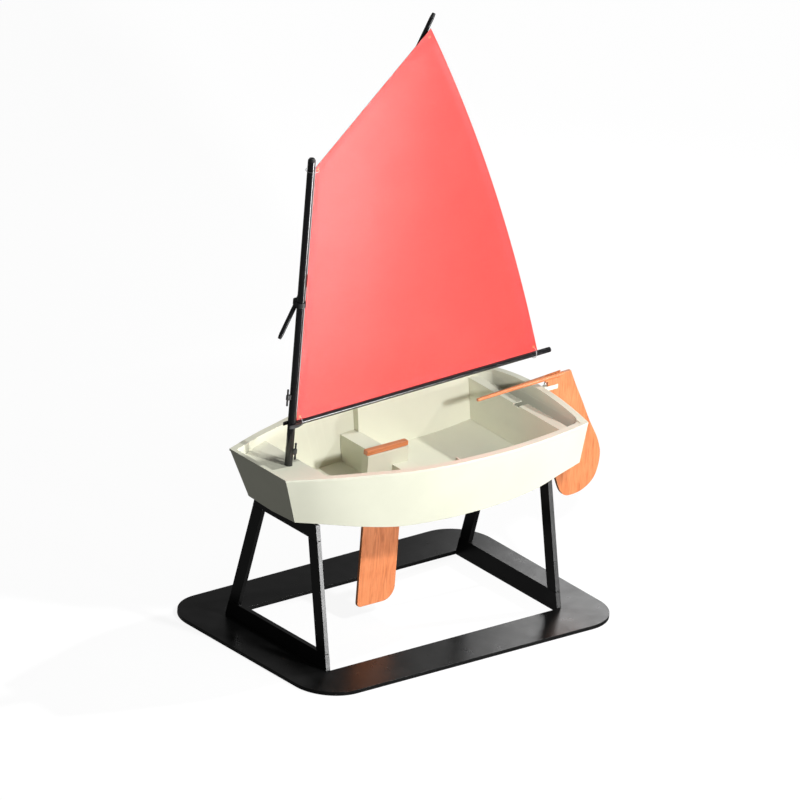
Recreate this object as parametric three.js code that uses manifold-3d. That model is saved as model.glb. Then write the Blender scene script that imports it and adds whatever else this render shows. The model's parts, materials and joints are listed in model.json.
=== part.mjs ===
// Radio-controlled pram dinghy with a sprit rig, on a display stand. Millimetres.
// +X is the bow, +Y is port, +Z is up. Z = 0 is the underside of the stand.
import * as THREE from 'three';
import { mergeVertices } from 'three/addons/utils/BufferGeometryUtils.js';
import Module from 'manifold-3d';

const wasm = await Module();
wasm.setup();

// ---- Driving dimensions ----
const GAP = 0.3;                                   // running gap between neighbouring pieces

const PLATE = { bow: 337.9, stern: -249.9, half: 196, thick: 6, corner: 66 };
const OPENING = { bow: 263.7, stern: -174.75, half: 120.8 };
const FRAME = { thick: 8, foot: 120.8, lean: 0.2234, leg: 21.75, sill: 30.6, bar: 202.8, top: 236 };
const PAD = { inner: 8, outer: 66, thick: 2 };

// Hull lines: [x, half breadth] or [x, height]
const STERN = -211.8;
const BOW_SHEER = 334.5;
const BOW_CHINE = 300;
const SHEER_HALF = [[-211.8, 117], [-163.8, 127.5], [-111.3, 135.7], [-51.3, 141.7], [8.7, 143.2],
  [76.2, 140.2], [137.7, 130.5], [200.7, 112.5], [263.7, 93.7], [334.5, 67.3]];
const SHEER_Z = [[-211.8, 303.9], [-30, 307.2], [76, 309], [200, 310.6], [334.5, 314.1]];
const CHINE_HALF = [[-211.8, 103.5], [-157.8, 111.7], [-123.3, 116.2], [-43.8, 121.5], [31.2, 120],
  [86.7, 117], [142.2, 109.5], [203.7, 97.5], [263.7, 75], [300, 55.2]];
const CHINE_Z = [[-211.8, 232], [-157.8, 222.7], [-123.3, 216], [-43.8, 209.6], [31.2, 207.4],
  [86.7, 208.5], [142.2, 210.8], [203.7, 220], [263.7, 229.2], [300, 232.5]];
const KEEL_DROP = 2.5;
const SKIN = 3;                                    // outer moulding wall
const LINER = 2.5;                                 // inner moulding wall
const RIM = 11.4;                                  // width of the gunwale seen from above
const SOLE = 8;                                    // cockpit floor above the chine
const FLANGE = 3;                                  // thickness of the gunwale flange
const BOW_WALL = 8;
const STERN_WALL = 11.2;
const CROWN = 14.7;                                // rise of the stern transom's top

const MAST = { x: 273.6, r: 6, bottom: 241, top: 801 };
const THWART = { aft: 248.7, bow: 317, top: 300, thick: 5 };
const MID = { bow: 74.7, aft: 42.5, top: 257.2, wall: 2.5, knee: 3, reach: 13.5 };
const CASE = { bow: 122.7, aft: 43.7, half: 7, slot: 3.4, top: 280.5 };
const BOARD = { bow: 118.7, aft: 46.9, half: 2.6, bottom: 28, top: 285 };
const HEAD = { bow: 123.2, aft: 43.9, low: 281, high: 288.8, half: 4.8 };
const BULKHEAD = { x: -166.8, flange: -184.2, top: 297, notch: 6.75, wall: 2.5 };

const BOOM = { r: 4, tip: 283.5, aft: -225, tipZ: 366.3, aftZ: 374.7 };   // rises a little aft
const SPRIT = { heel: [301.2, 510], tip: [48.1, 992.5], r: 3.5, y: -11.2 };
const SAIL = { tack: [264.4, 371.3], throat: [264.6, 789], peak: [58.5, 971], clew: [-200.3, 379.2],
  roach: 17, belly: 5, thick: 0.9 };

const PIN = { x: -220.8, r: 1.5, low: 242, high: 321 };
const RUDDER_HALF = 2.5;
const RUDDER_HEAD = [[-225.4, 246], [-225.4, 322], [-219.8, 322], [-219.8, 330.4], [-268.3, 331.3]];
const RUDDER_CURVE = [[-280.3, 304.8], [-295.3, 274.8], [-312.6, 238.3], [-331.4, 203], [-337.9, 175],
  [-330.5, 143], [-309.1, 125.5], [-280.5, 121.7], [-266, 131], [-255.9, 152]];
const TILLER = { fore: -90.3, aft: -252, foreZ: 322.5, aftZ: 329.6 };

const LINK = { arm: 12, z: 264, servoX: -179.6 };             // rudder servo linkage

// ---- Materials ----
const COLOURS = {
  gelcoat: 0xf4f4dc, wood: 0xf0904f, spar: 0x0c0c0d, plastic: 0x151516, stand: 0x141414,
  sailcloth: 0xff4d43, steel: 0xb8babd, blue: 0x2d4a8c, white: 0xe8e8e6,
};

const root = new THREE.Group();
root.name = 'rc_sailboat';

function add(name, geometry, colour) {
  const material = new THREE.MeshStandardMaterial({ color: COLOURS[colour] });
  material.name = colour;
  const mesh = new THREE.Mesh(geometry, material);
  mesh.name = name;
  root.add(mesh);
}

// ---- Solids ----
function solid(geometry) {
  let g = geometry.clone();
  g.deleteAttribute('normal');
  g.deleteAttribute('uv');
  g = mergeVertices(g, 1e-4);
  const vertProperties = new Float32Array(g.attributes.position.array);
  const triVerts = new Uint32Array(g.index.array);
  return new wasm.Manifold(new wasm.Mesh({ numProp: 3, vertProperties, triVerts }));
}

function back(manifold) {
  const mesh = manifold.getMesh();
  const g = new THREE.BufferGeometry();
  g.setAttribute('position', new THREE.BufferAttribute(new Float32Array(mesh.vertProperties), 3));
  g.setIndex(new THREE.BufferAttribute(new Uint32Array(mesh.triVerts), 1));
  g.computeVertexNormals();
  return g;
}

const join = (...parts) => back(parts.map(solid).reduce((a, b) => a.add(b)));
const cut = (body, ...tools) => back(tools.map(solid).reduce((a, b) => a.subtract(b), solid(body)));
const common = (a, b) => back(solid(a).intersect(solid(b)));

function box(x0, x1, y0, y1, z0, z1) {
  const g = new THREE.BoxGeometry(x1 - x0, y1 - y0, z1 - z0);
  return g.translate((x0 + x1) / 2, (y0 + y1) / 2, (z0 + z1) / 2);
}

// A round bar between two points.
function rod(from, to, radius, endRadius = radius, sides = 24) {
  const a = new THREE.Vector3(...from);
  const b = new THREE.Vector3(...to);
  const direction = b.clone().sub(a);
  const g = new THREE.CylinderGeometry(endRadius, radius, direction.length(), sides);
  const up = new THREE.Vector3(0, 1, 0);
  g.applyQuaternion(new THREE.Quaternion().setFromUnitVectors(up, direction.normalize()));
  const middle = a.add(b).multiplyScalar(0.5);
  return g.translate(middle.x, middle.y, middle.z);
}

// An outline in X and Z, pushed from y0 to y1.
function slabXZ(points, y0, y1) {
  const shape = points instanceof THREE.Shape ? points
    : new THREE.Shape(points.map(([x, z]) => new THREE.Vector2(x, z)));
  const g = new THREE.ExtrudeGeometry(shape, { depth: y1 - y0, bevelEnabled: false, curveSegments: 6 });
  return g.rotateX(Math.PI / 2).translate(0, y1, 0);
}

// An outline in Y and Z, pushed from x0 to x1.
function slabYZ(points, x0, x1) {
  const shape = new THREE.Shape(points.map(([y, z]) => new THREE.Vector2(y, z)));
  const g = new THREE.ExtrudeGeometry(shape, { depth: x1 - x0, bevelEnabled: false });
  const turn = new THREE.Matrix4().makeBasis(
    new THREE.Vector3(0, 1, 0), new THREE.Vector3(0, 0, 1), new THREE.Vector3(1, 0, 0));
  return g.applyMatrix4(turn).translate(x0, 0, 0);
}

// Smooth curve through [x, value] pairs.
function curve(table) {
  const slope = table.map((p, i) => {
    const before = table[Math.max(i - 1, 0)];
    const after = table[Math.min(i + 1, table.length - 1)];
    return (after[1] - before[1]) / (after[0] - before[0]);
  });
  return (x) => {
    let i = table.findIndex((p) => p[0] > x) - 1;
    if (i < 0) {
      i = x <= table[0][0] ? 0 : table.length - 2;
    }
    const width = table[i + 1][0] - table[i][0];
    const t = THREE.MathUtils.clamp((x - table[i][0]) / width, 0, 1);
    const t2 = t * t;
    const t3 = t2 * t;
    return (2 * t3 - 3 * t2 + 1) * table[i][1] + (t3 - 2 * t2 + t) * width * slope[i]
      + (3 * t2 - 2 * t3) * table[i + 1][1] + (t3 - t2) * width * slope[i + 1];
  };
}

const sheerHalf = curve(SHEER_HALF);
const sheerZ = curve(SHEER_Z);
const chineHalf = curve(CHINE_HALF);
const chineZ = curve(CHINE_Z);

// Skins equal rings of points together and closes both ends.
function loft(rings) {
  const count = rings[0].length;
  const position = rings.flat(2);
  const index = [];
  for (let r = 0; r + 1 < rings.length; r++) {
    for (let i = 0; i < count; i++) {
      const a = r * count + i;
      const b = r * count + (i + 1) % count;
      index.push(a, b, a + count, b, b + count, a + count);
    }
  }
  const last = (rings.length - 1) * count;
  for (let i = 1; i + 1 < count; i++) {
    index.push(0, i + 1, i, last, last + i, last + i + 1);
  }
  const g = new THREE.BufferGeometry();
  g.setAttribute('position', new THREE.Float32BufferAttribute(position, 3));
  g.setIndex(index);
  return g;
}

// The hull's body between its ends, drawn in by the given walls. top is measured from the sheer.
function hullBody({ side = 0, low = side, floor = 0, aft = 0, fore = 0, top = 0, drop = KEEL_DROP,
  round = 0, steps = 30 }) {
  const rings = [];
  const closeUp = round ? [0, 0.0008, 0.003, 0.0065, 0.011, 0.017, 0.0225] : [0];
  const stations = closeUp.concat(Array.from({ length: steps }, (_, i) => (i + 1) / steps));
  for (const t of stations) {
    const xs = THREE.MathUtils.lerp(STERN + aft, BOW_SHEER - fore, t);
    const xc = THREE.MathUtils.lerp(STERN + aft, BOW_CHINE - fore, t);
    const end = Math.min(xs - STERN - aft, round);
    const corner = round - Math.sqrt(Math.max(round * round - (round - end) ** 2, 0));
    const rail = sheerHalf(xs) - side - corner;
    const zs = sheerZ(xs);
    const bilge = chineZ(xc);
    const share = floor / (zs - bilge);
    const chine = THREE.MathUtils.lerp(chineHalf(xc), sheerHalf(xs), share) - low - corner;
    const flare = (rail - chine) / (zs - bilge - floor);
    const over = rail + flare * top;
    const x = THREE.MathUtils.lerp(xc, xs, share);
    const rake = (xs - x) / (zs - bilge - floor);
    const xt = xs + rake * top;
    rings.push([[x, 0, bilge + floor - drop], [x, chine, bilge + floor], [xt, over, zs + top],
      [xt, -over, zs + top], [x, -chine, bilge + floor]]);
  }
  return loft(rings);
}

// The plate under the gunwale, following the sheer from end to end.
function sheerPlate(below, thick) {
  const rings = [];
  for (let s = 0; s <= 30; s++) {
    const x = THREE.MathUtils.lerp(STERN, BOW_SHEER, s / 30);
    const y = sheerHalf(x);
    const z = sheerZ(x) - below;
    rings.push([[x, -y, z - thick], [x, y, z - thick], [x, y, z], [x, -y, z]]);
  }
  return loft(rings);
}

const hullOutside = hullBody({});
const cockpit = hullBody({ side: RIM, low: 9.4, floor: SOLE, aft: STERN_WALL, fore: BOW_WALL, top: 40,
  round: 12, drop: 1.5 });
const insideCockpit = hullBody({ side: RIM + GAP, low: 9.4 + GAP, floor: SOLE + GAP,
  aft: STERN_WALL + GAP, fore: BOW_WALL + GAP, top: 40, round: 12, drop: 1.5 });

// ---- Stand ----
function roundedPlate() {
  const { bow, stern, half, corner, thick } = PLATE;
  const shape = new THREE.Shape();
  shape.moveTo(stern + corner, -half);
  shape.lineTo(bow - corner, -half);
  shape.absarc(bow - corner, -half + corner, corner, -Math.PI / 2, 0);
  shape.lineTo(bow, half - corner);
  shape.absarc(bow - corner, half - corner, corner, 0, Math.PI / 2);
  shape.lineTo(stern + corner, half);
  shape.absarc(stern + corner, half - corner, corner, Math.PI / 2, Math.PI);
  shape.lineTo(stern, -half + corner);
  shape.absarc(stern + corner, -half + corner, corner, Math.PI, Math.PI * 1.5);
  const hole = new THREE.Path();
  hole.moveTo(OPENING.stern, -OPENING.half);
  hole.lineTo(OPENING.stern, OPENING.half);
  hole.lineTo(OPENING.bow, OPENING.half);
  hole.lineTo(OPENING.bow, -OPENING.half);
  shape.holes.push(hole);
  return new THREE.ExtrudeGeometry(shape, { depth: thick, bevelEnabled: false, curveSegments: 12 });
}

const legOuter = (z) => FRAME.foot - FRAME.lean * (z - PLATE.thick);

// One leg, from the sill's top to the crossbar's underside.
function leg(side, x0, x1) {
  const low = FRAME.sill + GAP;
  const high = FRAME.bar - GAP;
  const points = [[legOuter(low) - FRAME.leg, low], [legOuter(low), low],
    [legOuter(high), high], [legOuter(high) - FRAME.leg, high]];
  const outline = points.map(([y, z]) => [side * y, z]);
  return slabYZ(side > 0 ? outline : outline.reverse(), x0, x1);
}

function bar(low, high, x0, x1) {
  const outline = [[-legOuter(low), low], [legOuter(low), low], [legOuter(high), high],
    [-legOuter(high), high]];
  return slabYZ(outline, x0, x1);
}

const screwHoles = [];
for (const [end, x0] of [['bow', OPENING.bow], ['stern', OPENING.stern - FRAME.thick]]) {
  const x1 = x0 + FRAME.thick;
  const mid = (x0 + x1) / 2;
  const pins = [['port', 1], ['starboard', -1]];
  let sill = bar(PLATE.thick + GAP, FRAME.sill, x0, x1);
  const lowered = (drop) => hullOutside.clone().translate(0, 0, -drop);
  const crossbar = cut(bar(FRAME.bar, FRAME.top, x0, x1), lowered(PAD.thick + 2 * GAP));
  for (const [side, sign] of pins) {
    const foot = sign * 100;
    const hole = rod([mid, foot, -1], [mid, foot, 18], 1.75, 1.75, 16);
    const head = rod([mid, foot, -1], [mid, foot, 2.6], 3.6, 3.6, 16);
    screwHoles.push(hole, head);
    sill = cut(sill, hole);
    const shank = rod([mid, foot, 1], [mid, foot, 17.5], 1.5, 1.5, 16);
    const slot = box(mid - 2.2, mid + 2.2, foot - 0.4, foot + 0.4, 0, 0.8);
    const screw = cut(join(rod([mid, foot, 0.2], [mid, foot, 2.3], 3.3, 3.3, 16), shank), slot);
    add(`frame_screw_${end}_${side}`, screw, 'steel');
    add(`${end}_leg_${side}`, leg(sign, x0, x1), 'stand');
    const outer = [sign * PAD.inner, sign * PAD.outer].sort((a, b) => a - b);
    const column = box(x0 + GAP, x1 - GAP, outer[0], outer[1], 205, 300);
    const above = common(column, lowered(PAD.thick + GAP));
    add(`${end}_pad_${side}`, cut(above, lowered(GAP)), 'plastic');
  }
  add(`${end}_sill`, sill, 'stand');
  add(`${end}_crossbar`, crossbar, 'stand');
}
add('base_plate', cut(roundedPlate(), ...screwHoles), 'stand');

// ---- Hull mouldings ----
const linkHole = box(-240, -195, -LINK.arm - 3.5, -LINK.arm + 6, LINK.z - 3.5, LINK.z + 3.5);
const boardHole = box(BOARD.aft - 1.2, BOARD.bow + 1.2, -CASE.slot, CASE.slot, 190, 240);
const shellTop = hullBody({ top: -FLANGE - GAP });
const shellInside = hullBody({ side: SKIN, floor: SKIN, aft: SKIN, fore: SKIN + 0.3, top: 30 });
add('hull_moulding', cut(shellTop, shellInside, linkHole, boardHole), 'gelcoat');

const crownWidth = sheerHalf(STERN);
const crownBase = sheerZ(STERN) - FLANGE;
const crownLine = [[-crownWidth, crownBase], [crownWidth, crownBase]];
for (let i = 0; i <= 16; i++) {
  const y = crownWidth * (1 - i / 8);
  crownLine.push([y, sheerZ(STERN) + CROWN * (1 - (y / crownWidth) ** 2)]);
}
const crown = slabYZ(crownLine, STERN, STERN + STERN_WALL + 2);
// The liner is two mouldings: the tub behind the bulkhead is its own piece, under the flange.
const tubShape = { side: RIM - LINER, low: 9.4 - LINER, floor: SOLE - LINER,
  aft: STERN_WALL - LINER, fore: BOW_WALL - LINER };
const seam = BULKHEAD.x - BULKHEAD.wall / 2;
const tub = cut(hullBody({ ...tubShape, top: -0.5 }), box(-300, seam + GAP / 2, -200, 200, 150, 400));
const linerBlank = join(sheerPlate(0, FLANGE), tub, crown);
add('cockpit_liner', cut(linerBlank, cockpit, boardHole), 'gelcoat');
const wellTub = common(hullBody({ ...tubShape, top: -FLANGE - GAP }),
  box(-300, seam - GAP / 2, -200, 200, 150, 400));
add('aft_well_liner', cut(wellTub, cockpit, linkHole), 'gelcoat');

// ---- Fixed pieces in the cockpit ----
const mastHole = rod([MAST.x, 0, 200], [MAST.x, 0, 400], MAST.r + GAP);
const thwartSlab = box(THWART.aft, THWART.bow, -110, 110, THWART.top - THWART.thick, THWART.top);
const thwartLip = box(THWART.aft, THWART.aft + 4, -110, 110, THWART.top - 12, THWART.top);
add('mast_thwart', cut(common(join(thwartSlab, thwartLip), insideCockpit), mastHole), 'gelcoat');

const stepFloor = chineZ(MAST.x) + SOLE + GAP;
const stepBlank = join(
  box(MAST.x - 16, MAST.x + 16, -16, 16, stepFloor, stepFloor + 4),
  rod([MAST.x, 0, stepFloor + 3], [MAST.x, 0, stepFloor + 18], 11, 9.5));
const stepBore = rod([MAST.x, 0, MAST.bottom - GAP], [MAST.x, 0, 300], MAST.r + 0.15);
add('mast_step', cut(common(stepBlank, insideCockpit), stepBore), 'gelcoat');

// Each half of the midship thwart is a box, open underneath, over the radio gear.
const armTop = 306;
for (const [side, sign] of [['port', 1], ['starboard', -1]]) {
  const inner = CASE.half + GAP;
  const span = (a, b) => (sign > 0 ? [a, b] : [-b, -a]);
  const outside = box(MID.aft, MID.bow, ...span(inner, 150), 200, MID.top);
  const hollowWall = hullBody({ side: RIM + 3, low: 12.4, floor: -20, aft: 30, fore: 30, top: 40 });
  const hollow = common(hollowWall, box(MID.aft + MID.wall, MID.bow - MID.wall,
    ...span(inner + MID.wall, 150), 190, MID.top - MID.wall));
  add(`midship_thwart_${side}`, cut(common(outside, insideCockpit), hollow), 'gelcoat');
  const post = box(MID.aft, MID.aft + MID.knee, ...span(60, 150), MID.top + GAP, armTop);
  const arm = common(post, insideCockpit);
  const armFace = hullBody({ side: RIM + MID.reach, low: 18, floor: SOLE, aft: 20, fore: 20, top: 40 });
  add(`midship_knee_${side}`, cut(arm, armFace), 'gelcoat');
}

// The daggerboard case: a narrow box around the board's slot.
const caseBlank = box(CASE.aft, CASE.bow, -CASE.half, CASE.half, 200, CASE.top);
const caseSlot = box(BOARD.aft - 1.2, BOARD.bow + 1.2, -CASE.slot, CASE.slot, 190, 300);
add('daggerboard_case', cut(common(caseBlank, insideCockpit), caseSlot), 'gelcoat');

// The aft bulkhead is an upright panel with a flange, notched for the tiller's lines.
const panel = box(BULKHEAD.x - BULKHEAD.wall, BULKHEAD.x, -150, 150, 200, BULKHEAD.top);
const shelf = box(BULKHEAD.flange, BULKHEAD.x, -150, 150, BULKHEAD.top - BULKHEAD.wall, BULKHEAD.top);
const notch = box(-190, BULKHEAD.x + 2, -BULKHEAD.notch, BULKHEAD.notch, BULKHEAD.top - 3.2, 310);
add('aft_bulkhead', cut(common(join(panel, shelf), insideCockpit), notch), 'gelcoat');

// ---- Radio gear ----
const gearFloor = chineZ(60) + SOLE + GAP;
add('battery_pack', join(
  box(50.5, 70.5, 14, 62, gearFloor, gearFloor + 26),
  box(54, 67, 62, 65, gearFloor + 4, gearFloor + 22)), 'blue');
const switchX = 50.5;
const switchBody = box(switchX, switchX + 12, 72, 92, gearFloor + 4, gearFloor + 14);
const switchSlot = box(switchX + 3, switchX + 9, 75, 89, gearFloor + 10, gearFloor + 15);
add('switch_body', cut(switchBody, switchSlot), 'plastic');
add('switch_slider', join(
  box(switchX + 3.4, switchX + 8.6, 75.5, 82, gearFloor + 10.4, gearFloor + 14.5),
  box(switchX + 4.5, switchX + 7.5, 77, 80.5, gearFloor + 14, gearFloor + 18)), 'white');
const receiver = box(51, 70, -56, -16, gearFloor, gearFloor + 14);
const sockets = [0, 1, 2, 3].map((i) => box(60, 72, -52 + i * 8, -46 + i * 8, gearFloor + 3, gearFloor + 11));
add('receiver', cut(receiver, ...sockets), 'plastic');

function servo(x, y, z, along) {
  const [hx, hy] = along === 'x' ? [11.4, 5.9] : [5.9, 11.4];
  const [ex, ey] = along === 'x' ? [16, 5.9] : [5.9, 16];
  const [ox, oy] = along === 'x' ? [5.5, 0] : [0, 5.5];
  return join(
    box(x - hx - ox, x + hx - ox, y - hy - oy, y + hy - oy, z - 25, z - 3),
    box(x - ex - ox, x + ex - ox, y - ey - oy, y + ey - oy, z - 9, z - 6.6),
    rod([x, y, z - 4], [x, y, z - 1.2], 5.4),
    rod([x, y, z - 2], [x, y, z + 2.4], 2.1));
}

function servoArm(x, y, z, reach, direction) {
  const tipX = x + direction[0] * reach;
  const tipY = y + direction[1] * reach;
  const hub = rod([x, y, z], [x, y, z + 2.6], 4);
  const tip = rod([tipX, tipY, z], [tipX, tipY, z + 1.6], 2.6);
  const width = direction[0] ? [0, 2.4] : [2.4, 0];
  const web = box(Math.min(x, tipX) - width[0], Math.max(x, tipX) + width[0],
    Math.min(y, tipY) - width[1], Math.max(y, tipY) + width[1], z, z + 1.6);
  const bore = rod([x, y, z - 1], [x, y, z + 4], 2.1 + GAP);
  return { arm: cut(join(hub, tip, web), bore), tip: [tipX, tipY] };
}

const winchZ = gearFloor + 26;
add('sail_servo', servo(60.5, -80, winchZ, 'y'), 'plastic');
add('sail_servo_arm', servoArm(60.5, -80, winchZ, 12, [0, 1]).arm, 'white');

// The rudder servo stands behind the aft bulkhead; its arm and the rudder's horn are equal, so the
// pushrod keeps its direction as both turn.
add('rudder_servo', servo(LINK.servoX, 0, LINK.z - 2.4, 'y'), 'plastic');
const helm = servoArm(LINK.servoX, 0, LINK.z - 2.4, LINK.arm, [0, -1]);
const helmBore = rod([...helm.tip, 250], [...helm.tip, 275], 1.1, 1.1, 16);
add('rudder_servo_arm', cut(helm.arm, helmBore), 'white');
const rodZ = LINK.z + 1.6;
add('rudder_pushrod', join(
  rod([...helm.tip, LINK.z - 3.2], [...helm.tip, rodZ], 0.8, 0.8, 16),
  rod([helm.tip[0] + 0.8, -LINK.arm, rodZ], [PIN.x - 0.8, -LINK.arm, rodZ], 0.8, 0.8, 16),
  rod([PIN.x, -LINK.arm, rodZ], [PIN.x, -LINK.arm, LINK.z - 3.4], 0.8, 0.8, 16)), 'steel');

// ---- Rudder fittings ----
const levels = { upper: 302, lower: 246 };
for (const [level, z] of Object.entries(levels)) {
  const lug = join(
    box(STERN - GAP - 2, STERN - GAP, -9, 9, z - 8, z + 5.7),
    box(PIN.x, STERN - GAP - 1, -4, 4, z, z + 5.7),
    rod([PIN.x, 0, z], [PIN.x, 0, z + 5.7], 4));
  const eye = rod([PIN.x, 0, z + 6], [PIN.x, 0, z + 13], 4);
  const pinHole = rod([PIN.x, 0, z - 9], [PIN.x, 0, z + 20], PIN.r + 0.15, PIN.r + 0.15, 20);
  const seat = rod([PIN.x, 0, z - 9], [PIN.x, 0, z + 20], PIN.r + 0.05, PIN.r + 0.05, 20);
  add(`gudgeon_${level}`, cut(lug, seat), 'plastic');
  const cheeks = join(
    eye,
    box(PIN.x - 4, PIN.x, -4.3, 4.3, z + 6, z + 13),
    box(-243.3, PIN.x - 2, -4.3, 4.3, z + 6, z + 13));
  const blade = box(-250, -224.9, -RUDDER_HALF - GAP, RUDDER_HALF + GAP, z, z + 20);
  add(`pintle_strap_${level}`, cut(cheeks, blade, pinHole), 'gelcoat');
}
add('rudder_pin', rod([PIN.x, 0, PIN.low], [PIN.x, 0, PIN.high], PIN.r, PIN.r, 20), 'steel');

const tillerBolt = [-242, 327];
const forkBolt = rod([tillerBolt[0], -9, tillerBolt[1]], [tillerBolt[0], 9, tillerBolt[1]], 1.45, 1.45, 16);
const rudderShape = new THREE.Shape(RUDDER_HEAD.map(([x, z]) => new THREE.Vector2(x, z)));
rudderShape.splineThru(RUDDER_CURVE.map(([x, z]) => new THREE.Vector2(x, z)));
rudderShape.closePath();
add('rudder_blade', cut(slabXZ(rudderShape, -RUDDER_HALF, RUDDER_HALF), forkBolt), 'wood');

// The horn is an angle glued to the blade's starboard side.
const hornTop = LINK.z - 0.2;
const horn = join(
  box(-243, -226, -RUDDER_HALF - GAP - 1.6, -RUDDER_HALF - GAP, hornTop - 1.6, LINK.z + 9),
  box(-232, PIN.x + 2.6, -LINK.arm - 2.6, -7.4, hornTop - 1.6, hornTop),
  box(-232, -226, -8, -RUDDER_HALF - GAP, hornTop - 1.6, hornTop));
const hornBore = rod([PIN.x, -LINK.arm, 250], [PIN.x, -LINK.arm, 275], 1.2, 1.2, 16);
add('rudder_horn', cut(horn, hornBore), 'plastic');

function tiller() {
  const rings = [];
  const count = 20;
  for (let s = 0; s <= 8; s++) {
    const t = s / 8;
    const x = THREE.MathUtils.lerp(TILLER.aft, TILLER.fore, t);
    const z = THREE.MathUtils.lerp(TILLER.aftZ, TILLER.foreZ, t);
    const half = THREE.MathUtils.lerp(3.9, 2.4, t);
    const wide = THREE.MathUtils.lerp(5.6, 2.6, Math.min(t * 1.6, 1));
    const ring = [];
    for (let i = 0; i < count; i++) {
      const a = (i / count) * Math.PI * 2;
      const c = Math.cos(a);
      const d = Math.sin(a);
      ring.push([x, wide * Math.sign(c) * Math.abs(c) ** 0.6, z + half * Math.sign(d) * Math.abs(d) ** 0.6]);
    }
    rings.push(ring);
  }
  return loft(rings);
}
const fork = box(-260, -219.3, -RUDDER_HALF - GAP, RUDDER_HALF + GAP, 300, 340);
add('tiller', cut(tiller(), fork, forkBolt), 'wood');
add('tiller_dowel', rod([tillerBolt[0], -5.4, tillerBolt[1]], [tillerBolt[0], 5.4, tillerBolt[1]],
  1.15, 1.15, 16), 'wood');

// ---- Daggerboard ----
const boardShape = new THREE.Shape();
boardShape.moveTo(BOARD.bow, BOARD.top);
boardShape.lineTo(BOARD.bow, BOARD.bottom + 8);
boardShape.absarc(BOARD.bow - 8, BOARD.bottom + 8, 8, 0, -Math.PI / 2, true);
boardShape.lineTo(BOARD.aft + 22, BOARD.bottom);
boardShape.absarc(BOARD.aft + 22, BOARD.bottom + 22, 22, -Math.PI / 2, -Math.PI, true);
boardShape.lineTo(BOARD.aft, BOARD.top);
add('daggerboard', slabXZ(boardShape, -BOARD.half, BOARD.half), 'wood');
const headBlank = box(HEAD.aft, HEAD.bow, -HEAD.half, HEAD.half, HEAD.low, HEAD.high);
const headGroove = box(BOARD.aft - GAP, BOARD.bow + GAP, -BOARD.half - GAP, BOARD.half + GAP, 270,
  BOARD.top + GAP);
add('board_head', cut(headBlank, headGroove), 'wood');

// ---- Mast and its fittings ----
const cleats = { upper: [1, 413.3], lower: [-1, 319.5] };
const spigot = rod([MAST.x, 0, MAST.top - 12], [MAST.x, 0, MAST.top + 5], 4.2);
let mastTube = rod([MAST.x, 0, MAST.bottom], [MAST.x, 0, MAST.top], MAST.r, MAST.r, 32);
mastTube = cut(mastTube, rod([MAST.x, 0, MAST.top - 13], [MAST.x, 0, MAST.top + 5], 4.5));
add('mast', mastTube, 'spar');
const capTop = new THREE.SphereGeometry(MAST.r, 24, 12).scale(1, 1, 0.5)
  .translate(MAST.x, 0, MAST.top + 1.6);
const capSkirt = box(MAST.x - 9, MAST.x + 9, -9, 9, MAST.top - 12.5, MAST.top + GAP);
add('mast_cap', join(cut(capTop, capSkirt), spigot), 'plastic');

for (const [level, [sign, z]] of Object.entries(cleats)) {
  const face = MAST.x + sign * (MAST.r + GAP);
  const far = face + sign * 7;
  const xs = [face, far].sort((a, b) => a - b);
  const bar0 = far - sign * 1.5;
  add(`cleat_${level}`, join(
    box(xs[0], xs[1], -2, 2, z - 4, z + 4),
    rod([bar0, 0, z - 13.5], [bar0, 0, z + 13.5], 1.5, 1.5, 16)), 'plastic');
}

// ---- Boom, sprit and sail ----
const boomZ = (x) => THREE.MathUtils.lerp(BOOM.tipZ, BOOM.aftZ, (BOOM.tip - x) / (BOOM.tip - BOOM.aft));
const onBoom = (x) => [x, 0, boomZ(x)];
const jawZ = boomZ(MAST.x);
const jawOutline = [[MAST.x - 18, -5], [MAST.x - 6, -9.5], [MAST.x + 4, -10], [BOOM.tip, -8.4],
  [BOOM.tip, 8.4], [MAST.x + 4, 10], [MAST.x - 6, 9.5], [MAST.x - 18, 5]];
const jawShape = new THREE.Shape(jawOutline.map(([x, y]) => new THREE.Vector2(x, y)));
const jaws = new THREE.ExtrudeGeometry(jawShape, { depth: 5, bevelEnabled: false }).translate(0, 0, jawZ - 2.5);
const throatGap = join(
  rod([MAST.x, 0, jawZ - 9], [MAST.x, 0, jawZ + 9], MAST.r + 0.7, MAST.r + 0.7, 32),
  box(MAST.x, BOOM.tip + 5, -MAST.r - 0.7, MAST.r + 0.7, jawZ - 9, jawZ + 9));
const boomStart = MAST.x - 8;
const boomRoot = rod(onBoom(boomStart), onBoom(boomStart - 14), BOOM.r + GAP);
add('boom_jaws', cut(jaws, throatGap, boomRoot), 'plastic');
const boomTube = rod(onBoom(boomStart - GAP), onBoom(BOOM.aft + 1.5), BOOM.r);
const plugBore = rod(onBoom(BOOM.aft - 2), onBoom(BOOM.aft + 12), 2.8);
add('boom', cut(boomTube, plugBore), 'spar');
add('boom_plug', join(
  rod(onBoom(BOOM.aft), onBoom(BOOM.aft + 1.2), BOOM.r),
  rod(onBoom(BOOM.aft + 1), onBoom(BOOM.aft + 11), 2.5)), 'plastic');

const heel = new THREE.Vector3(SPRIT.heel[0], SPRIT.y, SPRIT.heel[1]);
const tip = new THREE.Vector3(SPRIT.tip[0], SPRIT.y + 4.6, SPRIT.tip[1]);
const along = tip.clone().sub(heel).normalize();
const onSprit = (d, from = heel) => from.clone().addScaledVector(along, d).toArray();
add('sprit', rod(onSprit(6.3), onSprit(-8.3, tip), SPRIT.r), 'spar');
add('sprit_heel_plug', rod(onSprit(0), onSprit(6), 2.6, SPRIT.r), 'plastic');
add('sprit_tip_plug', rod(onSprit(-8, tip), onSprit(-1.4, tip), SPRIT.r, 2.6), 'plastic');

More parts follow.
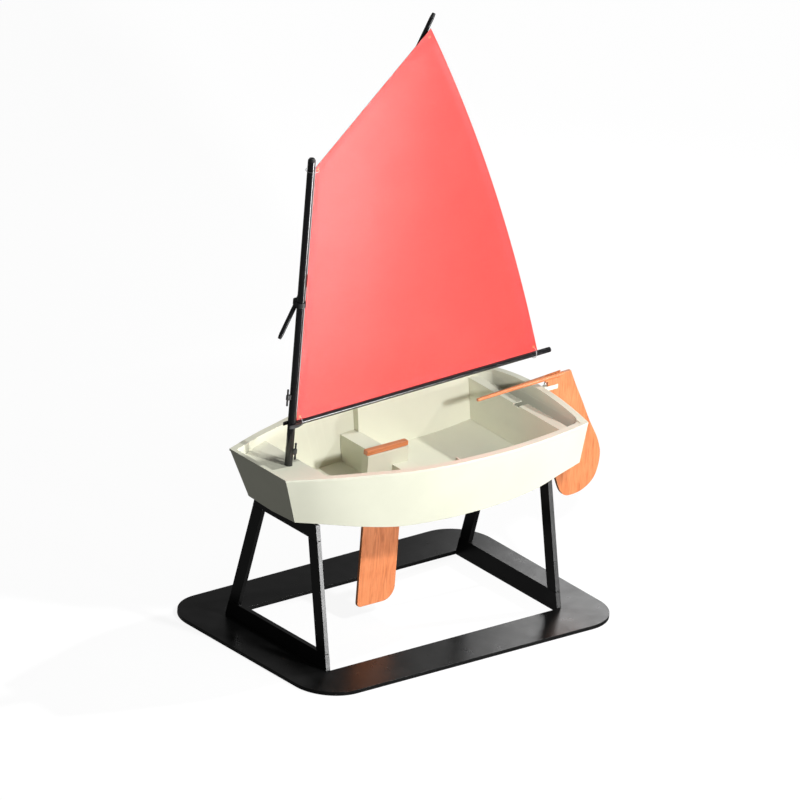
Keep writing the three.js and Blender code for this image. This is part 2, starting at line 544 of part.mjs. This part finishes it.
// The collar rides on the mast and holds the sprit's heel to it.
const collarZ = 565;
const collarAt = heel.clone().addScaledVector(along, (collarZ - heel.z) / along.z);
const collarCentre = [collarAt.x, collarAt.y];
const collarBody = join(
  rod([MAST.x, 0, collarZ - 4], [MAST.x, 0, collarZ + 4], MAST.r + 1.7, MAST.r + 1.7, 32),
  rod([collarCentre[0], collarCentre[1], collarZ - 4], [collarCentre[0], collarCentre[1], collarZ + 4],
    SPRIT.r + 2.6, SPRIT.r + 2.6, 32));
add('sprit_collar', cut(
  collarBody,
  rod([MAST.x, 0, collarZ - 9], [MAST.x, 0, collarZ + 9], MAST.r + 0.7, MAST.r + 0.7, 32),
  rod(onSprit(30), onSprit(95), SPRIT.r + GAP, SPRIT.r + GAP, 24)), 'plastic');

// The sail is a thin cambered sheet between its four edges.
function sailPoint(u, v) {
  const mix = THREE.MathUtils.lerp;
  const luff = [mix(SAIL.tack[0], SAIL.throat[0], v), mix(SAIL.tack[1], SAIL.throat[1], v)];
  const leech = [mix(SAIL.clew[0], SAIL.peak[0], v), mix(SAIL.clew[1], SAIL.peak[1], v)];
  const chord = [SAIL.peak[0] - SAIL.clew[0], SAIL.peak[1] - SAIL.clew[1]];
  const length = Math.hypot(...chord);
  const bulge = 4 * v * (1 - v) * SAIL.roach * u * u;
  const x = mix(luff[0], leech[0], u) - (bulge * chord[1]) / length;
  const z = mix(luff[1], leech[1], u) + (bulge * chord[0]) / length;
  const y = SAIL.belly * Math.sin(Math.PI * u ** 0.75) * Math.sin(Math.PI * v) ** 0.8;
  return [x, y, z];
}

function sail() {
  const across = 20;
  const upward = 24;
  const rings = [];
  for (let j = 0; j <= upward; j++) {
    const ring = [];
    for (let i = 0; i <= across; i++) {
      const [x, y, z] = sailPoint(i / across, j / upward);
      ring.push([x, y + SAIL.thick / 2, z]);
    }
    for (let i = across; i >= 0; i--) {
      const [x, y, z] = sailPoint(i / across, j / upward);
      ring.push([x, y - SAIL.thick / 2, z]);
    }
    rings.push(ring);
  }
  return rings;
}

// Skins the sail's rings, closing the foot and the head with strips between its two faces.
function sheet(rings) {
  const count = rings[0].length;
  const half = count / 2;
  const index = [];
  for (let r = 0; r + 1 < rings.length; r++) {
    for (let i = 0; i < count; i++) {
      const a = r * count + i;
      const b = r * count + (i + 1) % count;
      index.push(a, b, a + count, b, b + count, a + count);
    }
  }
  const last = (rings.length - 1) * count;
  for (let i = 0; i + 1 < half; i++) {
    const j = count - 1 - i;
    index.push(i, j, i + 1, i + 1, j, j - 1);
    index.push(last + i, last + i + 1, last + j, last + i + 1, last + j - 1, last + j);
  }
  const g = new THREE.BufferGeometry();
  g.setAttribute('position', new THREE.Float32BufferAttribute(rings.flat(2), 3));
  g.setIndex(index);
  return g;
}
add('sail', sheet(sail()), 'sailcloth');

export default root;
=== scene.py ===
import json
import math

import bmesh
import bpy
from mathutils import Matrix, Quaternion, Vector


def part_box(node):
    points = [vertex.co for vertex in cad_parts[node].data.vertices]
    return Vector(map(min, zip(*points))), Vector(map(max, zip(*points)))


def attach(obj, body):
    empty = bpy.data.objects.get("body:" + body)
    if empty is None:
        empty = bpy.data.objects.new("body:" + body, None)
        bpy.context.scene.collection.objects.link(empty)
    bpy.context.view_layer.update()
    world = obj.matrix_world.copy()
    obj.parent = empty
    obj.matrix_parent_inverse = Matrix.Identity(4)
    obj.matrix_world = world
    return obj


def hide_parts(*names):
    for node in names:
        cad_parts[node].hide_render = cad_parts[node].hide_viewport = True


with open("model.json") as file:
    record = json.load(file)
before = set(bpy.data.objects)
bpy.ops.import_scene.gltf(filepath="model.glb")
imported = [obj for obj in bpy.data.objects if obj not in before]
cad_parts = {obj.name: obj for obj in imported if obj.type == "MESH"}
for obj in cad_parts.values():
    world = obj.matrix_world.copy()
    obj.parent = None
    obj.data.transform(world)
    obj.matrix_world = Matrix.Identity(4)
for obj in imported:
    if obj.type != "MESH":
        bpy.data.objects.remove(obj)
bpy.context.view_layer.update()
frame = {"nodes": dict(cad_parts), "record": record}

MM = 0.001
scene = bpy.context.scene
scene.view_settings.view_transform = "Standard"

# ---- Camera ----
AZIMUTH, ELEVATION, ROLL = 139.2, 24.4, 4.4
AIM = Vector((0.063, 0.0, 0.358))
FIELD, DISTANCE = 1.2, 3


def make_camera():
    data = bpy.data.cameras.new("camera")
    data.type = "ORTHO"
    data.ortho_scale = FIELD
    camera = bpy.data.objects.new("camera", data)
    scene.collection.objects.link(camera)
    a, e = math.radians(AZIMUTH), math.radians(ELEVATION)
    back = Vector((math.sin(a) * math.cos(e), -math.cos(a) * math.cos(e), math.sin(e)))
    camera.location = AIM + back * DISTANCE
    camera.rotation_mode = "QUATERNION"
    turn = Quaternion((0, 0, 1), math.radians(ROLL))
    camera.rotation_quaternion = (-back).to_track_quat("-Z", "Y") @ turn
    scene.camera = camera


make_camera()


# ---- Material nodes ----
class Shader:
    """A material whose nodes are added one by one."""

    def __init__(self, name, colour, roughness, **sockets):
        self.material = bpy.data.materials.new(name)
        self.material.use_nodes = True
        self.tree = self.material.node_tree
        self.bsdf = self.tree.nodes["Principled BSDF"]
        self.bsdf.inputs["Base Color"].default_value = (*colour, 1)
        self.bsdf.inputs["Roughness"].default_value = roughness
        for socket, value in sockets.items():
            self.bsdf.inputs[socket.replace("_", " ")].default_value = value
        self.place = self.node("ShaderNodeTexCoord").outputs["Object"]

    def node(self, kind, **settings):
        made = self.tree.nodes.new(kind)
        for key, value in settings.items():
            setattr(made, key, value)
        return made

    def link(self, source, target):
        self.tree.links.new(source, target)

    def stretched(self, scale, rotation=(0, 0, 0)):
        mapping = self.node("ShaderNodeMapping")
        mapping.inputs["Scale"].default_value = scale
        mapping.inputs["Rotation"].default_value = rotation
        self.link(self.place, mapping.inputs["Vector"])
        return mapping.outputs["Vector"]

    def noise(self, scale, detail=4, vector=None, distortion=0.0):
        made = self.node("ShaderNodeTexNoise")
        made.inputs["Scale"].default_value = scale
        made.inputs["Detail"].default_value = detail
        made.inputs["Distortion"].default_value = distortion
        self.link(vector or self.place, made.inputs["Vector"])
        return made.outputs["Fac"]

    def ramp(self, value, *stops):
        made = self.node("ShaderNodeValToRGB")
        elements = made.color_ramp.elements
        while len(elements) < len(stops):
            elements.new(0.5)
        for element, (position, colour) in zip(elements, stops):
            element.position = position
            element.color = (*colour, 1)
        self.link(value, made.inputs["Fac"])
        return made.outputs["Color"]

    def span(self, value, low, high, start=0.0, end=1.0):
        made = self.node("ShaderNodeMapRange")
        made.inputs["From Min"].default_value = start
        made.inputs["From Max"].default_value = end
        made.inputs["To Min"].default_value = low
        made.inputs["To Max"].default_value = high
        self.link(value, made.inputs["Value"])
        return made.outputs["Result"]

    def math(self, operation, a, b=None):
        made = self.node("ShaderNodeMath", operation=operation)
        for socket, value in zip(made.inputs, (a, b)):
            if value is None:
                continue
            if isinstance(value, (int, float)):
                socket.default_value = value
            else:
                self.link(value, socket)
        return made.outputs[0]

    def mix(self, factor, a, b, blend="MIX"):
        made = self.node("ShaderNodeMix", data_type="RGBA", blend_type=blend)
        sockets = [made.inputs["Factor"]] + [s for s in made.inputs if s.type == "RGBA"]
        for socket, value in zip(sockets, (factor, a, b)):
            if isinstance(value, (int, float)):
                socket.default_value = value
            elif isinstance(value, tuple):
                socket.default_value = (*value, 1)
            else:
                self.link(value, socket)
        return [s for s in made.outputs if s.type == "RGBA"][0]

    def edges(self, radius):
        """1 along sharp edges and 0 elsewhere, broken up by noise."""
        bevel = self.node("ShaderNodeBevel", samples=4)
        bevel.inputs["Radius"].default_value = radius
        geometry = self.node("ShaderNodeNewGeometry")
        dot = self.node("ShaderNodeVectorMath", operation="DOT_PRODUCT")
        self.link(bevel.outputs["Normal"], dot.inputs[0])
        self.link(geometry.outputs["Normal"], dot.inputs[1])
        edge = self.span(dot.outputs["Value"], 1, 0, 0.9, 0.995)
        return self.math("MULTIPLY", edge, self.span(self.noise(90, 6), 0, 1, 0.4, 0.62))

    def colour(self, output):
        self.link(output, self.bsdf.inputs["Base Color"])

    def roughness(self, output):
        self.link(output, self.bsdf.inputs["Roughness"])

    def bump(self, height, distance, strength=1.0):
        made = self.node("ShaderNodeBump")
        made.inputs["Distance"].default_value = distance
        made.inputs["Strength"].default_value = strength
        self.link(height, made.inputs["Height"])
        self.link(made.outputs["Normal"], self.bsdf.inputs["Normal"])


def gelcoat():
    s = Shader("gelcoat", (0.72, 0.72, 0.58), 0.45, Specular_IOR_Level=0.3)
    cloud = s.ramp(s.noise(14, 5), (0.3, (0.7, 0.705, 0.575)), (0.7, (0.74, 0.745, 0.61)))
    s.colour(s.mix(s.math("MULTIPLY", s.edges(1.1 * MM), 0.4), cloud, (0.97, 0.97, 0.9)))
    s.roughness(s.span(s.noise(60, 6), 0.38, 0.54))
    s.bump(s.math("ADD", s.noise(650, 2), s.math("MULTIPLY", s.noise(40, 3), 3)), 0.00005)
    return s.material


def wood(name, scale):
    """Varnished wood, its grain along the axis with the smallest scale."""
    s = Shader(name, (0.8, 0.29, 0.1), 0.35, Coat_Weight=0.5, Coat_Roughness=0.18)
    along = s.stretched(scale)
    rings = s.noise(1.0, 8, along, 1.6)
    figure = s.ramp(rings, (0.3, (0.5, 0.145, 0.045)), (0.48, (0.66, 0.2, 0.068)),
                    (0.6, (0.74, 0.25, 0.09)), (0.75, (0.58, 0.17, 0.055)))
    pores = s.span(s.noise(3.2, 4, s.stretched(tuple(v * 3.2 for v in scale))), 0, 0.4, 0.6, 0.72)
    grain = s.mix(pores, figure, (0.42, 0.13, 0.045))
    mottle = s.mix(s.span(s.noise(55, 3), 0, 0.22, 0.35, 0.7), grain, (0.85, 0.33, 0.14))
    s.colour(s.mix(s.math("MULTIPLY", s.edges(0.9 * MM), 0.6), mottle, (0.98, 0.62, 0.36)))
    s.roughness(s.span(rings, 0.3, 0.48))
    s.bump(s.math("ADD", rings, pores), 0.00012, 0.7)
    return s.material


def gloss_black(name, base, worn, low, high, shine, bump=0.00004):
    """Black paint, dusty in patches and worn at its edges; its roughness runs from low to high."""
    s = Shader(name, base, low, Specular_IOR_Level=shine)
    dusty = tuple(c * 2.2 + 0.006 for c in base)
    dust = s.mix(s.span(s.noise(30, 7), 0, 0.5, 0.45, 0.8), base, dusty)
    s.colour(s.mix(s.math("MULTIPLY", s.edges(0.8 * MM), 0.8), dust, worn))
    s.roughness(s.span(s.noise(45, 6), low, high))
    s.bump(s.math("ADD", s.noise(500, 2), s.math("MULTIPLY", s.noise(25, 2), 4)), bump)
    return s.material


def moulded(name, base, worn, rough=0.48):
    """Moulded plastic with a fine spark-eroded grain."""
    s = Shader(name, base, rough)
    tone = s.mix(s.span(s.noise(70, 4), 0, 0.35, 0.35, 0.7), base, worn)
    s.colour(s.mix(s.math("MULTIPLY", s.edges(0.5 * MM), 0.7), tone, worn))
    s.roughness(s.span(s.noise(160, 4), rough - 0.08, rough + 0.12))
    s.bump(s.noise(1800, 3), 0.00006)
    return s.material


def steel():
    s = Shader("steel", (0.6, 0.61, 0.62), 0.28, Metallic=1.0)
    brush = s.noise(1.0, 5, s.stretched((2500, 2500, 60)))
    s.colour(s.ramp(brush, (0.3, (0.42, 0.43, 0.44)), (0.7, (0.72, 0.72, 0.73))))
    s.roughness(s.span(brush, 0.2, 0.42))
    s.bump(brush, 0.00002)
    return s.material


def brass():
    s = Shader("brass", (0.75, 0.52, 0.2), 0.25, Metallic=1.0)
    s.colour(s.ramp(s.noise(300, 5), (0.35, (0.5, 0.31, 0.1)), (0.6, (0.8, 0.57, 0.24))))
    s.roughness(s.span(s.noise(240, 4), 0.18, 0.45))
    s.bump(s.noise(900, 2), 0.00002)
    return s.material


def sailcloth():
    """Plain woven red cloth with a resin finish: threads, slubs, soft creases and sewn hems."""
    s = Shader("sailcloth", (0.86, 0.032, 0.022), 0.4, Specular_IOR_Level=0.8)
    uv = s.node("ShaderNodeUVMap", uv_map="cloth").outputs["UV"]
    threads = []
    for direction in ("X", "Y"):
        wave = s.node("ShaderNodeTexWave", bands_direction=direction)
        wave.inputs["Scale"].default_value = 700
        wave.inputs["Distortion"].default_value = 0.6
        wave.inputs["Detail"].default_value = 1
        s.link(uv, wave.inputs["Vector"])
        threads.append(wave.outputs["Fac"])
    weave = s.math("MULTIPLY", threads[0], threads[1])
    dye = s.ramp(s.noise(18, 6), (0.3, (0.8, 0.018, 0.011)), (0.7, (0.88, 0.028, 0.019)))
    slub = s.noise(1.0, 3, s.stretched((60, 60, 900)))
    woven = s.mix(s.math("MULTIPLY", weave, 0.22), dye, (0.96, 0.07, 0.05))
    hem = s.node("ShaderNodeAttribute", attribute_name="hem").outputs["Fac"]
    doubled = s.mix(s.math("MULTIPLY", hem, 0.3), woven, (0.66, 0.02, 0.016))
    stitch = s.node("ShaderNodeAttribute", attribute_name="stitch").outputs["Fac"]
    s.colour(s.mix(s.math("MULTIPLY", stitch, 0.55), doubled, (0.45, 0.012, 0.01)))
    s.roughness(s.span(slub, 0.28, 0.36))
    crease = s.math("MULTIPLY", s.noise(26, 3, None, 0.8), 8)
    s.bump(s.math("ADD", s.math("ADD", weave, slub), crease), 0.00009, 0.8)
    return s.material


MATERIALS = {
    "gelcoat": gelcoat(),
    "wood_upright": wood("wood_upright", (190, 190, 16)),
    "wood_long": wood("wood_long", (16, 220, 220)),
    "spar": gloss_black("spar", (0.004, 0.004, 0.005), (0.05, 0.05, 0.055), 0.14, 0.24, 0.7),
    "stand": gloss_black("stand", (0.003, 0.003, 0.003), (0.03, 0.03, 0.03), 0.24, 0.34, 0.3),
    "fittings": moulded("fittings", (0.014, 0.014, 0.015), (0.07, 0.07, 0.072)),
    "steel": steel(),
    "brass": brass(),
    "sailcloth": sailcloth(),
    "battery_wrap": moulded("battery_wrap", (0.03, 0.09, 0.35), (0.12, 0.2, 0.5), 0.25),
    "servo_horn": moulded("servo_horn", (0.72, 0.72, 0.7), (0.85, 0.85, 0.83)),
}


def finish_of(node, slot):
    """The material of a node: wood follows the node's longest side."""
    if slot != "wood":
        return MATERIALS[slot]
    low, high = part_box(node)
    size = high - low
    return MATERIALS["wood_upright" if size.z > size.x else "wood_long"]


# ---- Pieces made from the CAD nodes' shapes ----
SLOTS = {s["node"]: s["material_slot"] for s in frame["record"]["subparts"]}
bodies = frame["record"]["behaviour"]["bodies"]
BODIES = {node: body for body, nodes in bodies.items() for node in nodes}
CURVED = ("hull_moulding", "cockpit_liner", "aft_well_liner")
ROUNDING = {"gelcoat": 0.6, "wood": 0.9, "spar": 0.25, "stand": 0.7, "fittings": 0.3, "steel": 0.1,
            "battery_wrap": 1.2, "servo_horn": 0.25}      # edge radius of each slot, in mm
FLAT, SHARP, ROUNDED = math.radians(0.4), math.radians(32), math.radians(40)


def link_mesh(name, mesh):
    piece = bpy.data.objects.new(name, mesh)
    scene.collection.objects.link(piece)
    return piece


def dress(node):
    """A finished copy of a node: clean faces, rounded edges, smooth shading and its material."""
    slot = SLOTS[node]
    bm = bmesh.new()
    bm.from_mesh(frame["nodes"][node].data)
    bmesh.ops.remove_doubles(bm, verts=bm.verts, dist=1e-6)
    if node not in CURVED:
        bmesh.ops.dissolve_limit(bm, angle_limit=FLAT, verts=bm.verts, edges=bm.edges)
    mesh = bpy.data.meshes.new(f"{node}_look")
    bm.to_mesh(mesh)
    bm.free()
    # The node's stored normals are flat, so they go before the copy is shaded smooth.
    if "custom_normal" in mesh.attributes:
        mesh.attributes.remove(mesh.attributes["custom_normal"])
    mesh.materials.clear()
    mesh.materials.append(finish_of(node, slot))
    piece = link_mesh(f"{node}_look", mesh)
    for polygon in mesh.polygons:
        polygon.use_smooth = True
        polygon.material_index = 0
    mesh.set_sharp_from_angle(angle=SHARP)
    bevel = piece.modifiers.new("rounding", "BEVEL")
    bevel.width = ROUNDING[slot] * MM
    bevel.segments = 2
    bevel.limit_method = "ANGLE"
    bevel.angle_limit = ROUNDED
    bevel.harden_normals = node not in CURVED
    if node in CURVED:
        piece.modifiers.new("even shading", "WEIGHTED_NORMAL").keep_sharp = True
    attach(piece, BODIES[node])
    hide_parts(node)
    return piece


for node in SLOTS:
    if node != "sail":
        dress(node)

# ---- Sail ----
CLOTH, DOUBLED = 0.26 * MM, 0.42 * MM              # half the cloth's thickness, and of its hems
HEM_U, HEM_V = 0.021, 0.014                        # hem widths as shares of the sail
PATCH_U, PATCH_V = 0.12, 0.075                     # reach of the corner patches, likewise
mast_low, mast_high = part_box("mast")
boom_low, boom_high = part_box("boom")
BOOM_RADIUS = 0.004
mast_x = (mast_low.x + mast_high.x) / 2

TACK, THROAT = Vector((0.2644, 0, 0.3713)), Vector((0.2646, 0, 0.789))
PEAK, CLEW = Vector((0.0585, 0, 0.971)), Vector((-0.2003, 0, 0.3792))
ROACH, BELLY = 0.017, 0.005


def boom_height(x):
    """The height of the boom's axis, which rises a little aft."""
    share = (boom_high.x - x) / (boom_high.x - boom_low.x)
    low, high = boom_low.z + BOOM_RADIUS, boom_high.z - BOOM_RADIUS
    return low + (high - low) * share


def on_sail(u, v):
    """A point of the sail: u runs from luff to leech, v from foot to head."""
    luff = TACK.lerp(THROAT, v)
    leech = CLEW.lerp(PEAK, v)
    chord = (PEAK - CLEW).normalized()
    point = luff.lerp(leech, u)
    bulge = 4 * v * (1 - v) * ROACH * u * u
    point += Vector((-chord.z, 0, chord.x)) * bulge
    point.y = BELLY * math.sin(math.pi * u ** 0.75) * max(math.sin(math.pi * v), 0) ** 0.8
    return point


def grid_lines(hem, count):
    """Grid values from 0 to 1 with a close pair at each hem's edge."""
    inside = [hem + (1 - 2 * hem) * i / count for i in range(1, count)]
    return [0, hem * 0.82, hem] + inside + [1 - hem, 1 - hem * 0.82, 1]


def make_sail():
    """The sail as one closed cloth, with marks where it is hemmed and stitched, and its area."""
    us, vs = grid_lines(HEM_U, 40), grid_lines(HEM_V, 44)
    corners = [(0, 0), (1, 0), (0, 1), (1, 1)]
    bm = bmesh.new()
    faces = {1: [], -1: []}
    tags = {}
    for side in (1, -1):
        for v in vs:
            row = []
            for u in us:
                edge = min(u / HEM_U, (1 - u) / HEM_U, v / HEM_V, (1 - v) / HEM_V)
                patch = min(abs(u - a) / PATCH_U + abs(v - b) / PATCH_V for a, b in corners)
                doubled = edge < 0.9 or patch < 1
                half = DOUBLED if doubled else CLOTH
                vert = bm.verts.new(on_sail(u, v) + Vector((0, side * half, 0)))
                stitched = 0.75 < edge < 1.05 or 0.97 < patch < 1.12
                tags[vert] = (float(doubled), float(stitched), u, v)
                row.append(vert)
            faces[side].append(row)
    columns, rows = len(us), len(vs)
    for j in range(rows - 1):
        for i in range(columns - 1):
            for side, grid in faces.items():
                quad = [grid[j][i], grid[j][i + 1], grid[j + 1][i + 1], grid[j + 1][i]]
                bm.faces.new(quad if side > 0 else quad[::-1])
    port, other = faces[1], faces[-1]
    border = [(j, 0) for j in range(rows)] + [(rows - 1, i) for i in range(1, columns)]
    border += [(j, columns - 1) for j in range(rows - 2, -1, -1)]
    border += [(0, i) for i in range(columns - 2, 0, -1)]
    for (j, i), (k, m) in zip(border, border[1:] + border[:1]):
        bm.faces.new([port[j][i], port[k][m], other[k][m], other[j][i]])
    bmesh.ops.recalc_face_normals(bm, faces=bm.faces)
    order = [tags[v] for v in bm.verts]
    uv = bm.loops.layers.uv.new("cloth")
    for face in bm.faces:
        for loop in face.loops:
            loop[uv].uv = (loop.vert.co.x, loop.vert.co.z)
    area = sum(f.calc_area() for f in bm.faces) / 2
    mesh = bpy.data.meshes.new("sail_look")
    bm.to_mesh(mesh)
    bm.free()
    for name, column in (("hem", 0), ("stitch", 1)):
        layer = mesh.attributes.new(name, "FLOAT", "POINT")
        layer.data.foreach_set("value", [t[column] for t in order])
    mesh.materials.append(MATERIALS["sailcloth"])
    mesh.polygons.foreach_set("use_smooth", [True] * len(mesh.polygons))
    mesh.set_sharp_from_angle(angle=math.radians(60))
    sail = link_mesh("sail_look", mesh)
    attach(sail, "rig")
    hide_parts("sail")
    return sail, area


def ring(name, centre, normal, major, minor, material, turns=28, sides=10):
    """A closed wire ring with its axis along normal."""
    bm = bmesh.new()
    turn = Vector(normal).to_track_quat("Z", "Y").to_matrix()
    loops = []
    for i in range(turns):
        a = 2 * math.pi * i / turns
        out = Vector((math.cos(a), math.sin(a), 0))
        loop = []
        for j in range(sides):
            b = 2 * math.pi * j / sides
            spot = out * (major + minor * math.cos(b)) + Vector((0, 0, minor * math.sin(b)))
            loop.append(bm.verts.new(Vector(centre) + turn @ spot))
        loops.append(loop)
    for i in range(turns):
        for j in range(sides):
            a, b = loops[i], loops[(i + 1) % turns]
            k = (j + 1) % sides
            bm.faces.new([a[j], b[j], b[k], a[k]])
    bmesh.ops.recalc_face_normals(bm, faces=bm.faces)
    mesh = bpy.data.meshes.new(name)
    bm.to_mesh(mesh)
    bm.free()
    mesh.polygons.foreach_set("use_smooth", [True] * len(mesh.polygons))
    mesh.materials.append(material)
    piece = link_mesh(name, mesh)
    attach(piece, "rig")
    return piece


sail, sail_area = make_sail()
CORNERS = {"tack": on_sail(0.012, 0.012), "throat": on_sail(0.018, 0.985),
           "peak": on_sail(0.97, 0.985), "clew": on_sail(0.988, 0.012)}
EYELET, EYELET_WIRE, RING_WIRE = 1.7 * MM, 0.55 * MM, 0.5 * MM
UNDER_BOOM = 5.2 * MM                              # how far a boom ring hangs below the boom's axis
ROUND_MAST = 7.4 * MM                              # how far the throat ring passes the mast's axis
for label, spot in CORNERS.items():
    ring(f"{label}_eyelet", spot, (0, 1, 0), EYELET, EYELET_WIRE,
                        MATERIALS["brass"])
for label in ("tack", "clew"):
    spot = CORNERS[label]
    axis = boom_height(spot.x)
    reach = spot.z - axis
    centre = Vector((spot.x, 0, axis + (reach - UNDER_BOOM) / 2))
    ring(f"{label}_ring", centre, (1, 0, 0), (reach + UNDER_BOOM) / 2, RING_WIRE,
                        MATERIALS["steel"])
throat = CORNERS["throat"]
mast_ring = (mast_x + ROUND_MAST - throat.x) / 2
ring("throat_ring", (throat.x + mast_ring, 0, throat.z), (0, 0, 1), mast_ring, RING_WIRE,
                    MATERIALS["steel"])


# ---- Floor and light ----
FLOOR_REACH, FLOOR_GAP = 12, 0.0004


def make_floor():
    """A pale floor that glows evenly, and is neither mirrored nor lights the object."""
    mesh = bpy.data.meshes.new("floor")
    far = FLOOR_REACH
    corners = [(-far, -far, 0), (far, -far, 0), (far, far, 0), (-far, far, 0)]
    mesh.from_pydata(corners, [], [(0, 1, 2, 3)])
    floor = link_mesh("floor", mesh)
    floor.location.z = -FLOOR_GAP
    s = Shader("pale_floor", (0.12, 0.12, 0.12), 0.9)
    s.bsdf.inputs["Emission Color"].default_value = (1, 1, 1, 1)
    s.bsdf.inputs["Emission Strength"].default_value = 0.9
    s.bsdf.inputs["Specular IOR Level"].default_value = 0
    mesh.materials.append(s.material)
    floor.visible_diffuse = False
    floor.visible_glossy = False


def make_sun(name, azimuth, elevation, strength, size):
    """A soft distant light: azimuth is counted from the bow towards port."""
    data = bpy.data.lights.new(name, "SUN")
    data.energy = strength
    data.angle = math.radians(size)
    lamp = bpy.data.objects.new(name, data)
    a, e = math.radians(azimuth), math.radians(elevation)
    towards = Vector((math.cos(a) * math.cos(e), math.sin(a) * math.cos(e), math.sin(e)))
    lamp.rotation_mode = "QUATERNION"
    lamp.rotation_quaternion = towards.to_track_quat("Z", "Y")
    scene.collection.objects.link(lamp)


def make_lamp(name, place, power, radius):
    """A small soft lamp that lights near and far alike."""
    data = bpy.data.lights.new(name, "POINT")
    data.energy = power
    data.shadow_soft_size = radius
    data.use_nodes = True
    tree = data.node_tree
    falloff = tree.nodes.new("ShaderNodeLightFalloff")
    falloff.inputs["Strength"].default_value = 1
    tree.links.new(falloff.outputs["Constant"], tree.nodes["Emission"].inputs["Strength"])
    lamp = bpy.data.objects.new(name, data)
    lamp.location = place
    lamp.visible_camera = False
    scene.collection.objects.link(lamp)


def make_card(name, place, aim, width, height, power):
    """A softbox facing a point."""
    data = bpy.data.lights.new(name, "AREA")
    data.shape = "RECTANGLE"
    data.size, data.size_y = width, height
    data.energy = power
    lamp = bpy.data.objects.new(name, data)
    lamp.location = place
    lamp.rotation_mode = "QUATERNION"
    lamp.rotation_quaternion = (Vector(place) - Vector(aim)).to_track_quat("Z", "Y")
    lamp.visible_camera = False
    scene.collection.objects.link(lamp)


make_floor()
make_lamp("port_lamp", (0.07, 0.567, 0.618), 29, 0.025)
make_sun("stern_light", 175, 39, 2.1, 2)
make_sun("side_light", 98, 3, 1.2, 6)
make_card("low_card", (-0.7, 1.37, 0.1), (0.24, 0, 0.74), 0.42, 0.42, 20)
make_card("aft_card", (-1.25, -0.95, 0.68), (-0.25, 0.15, 0), 0.4, 0.3, 2.3)
world = bpy.data.worlds.new("studio")
world.use_nodes = True
world.node_tree.nodes["Background"].inputs["Color"].default_value = (1, 1, 1, 1)
world.node_tree.nodes["Background"].inputs["Strength"].default_value = 0.13
scene.world = world
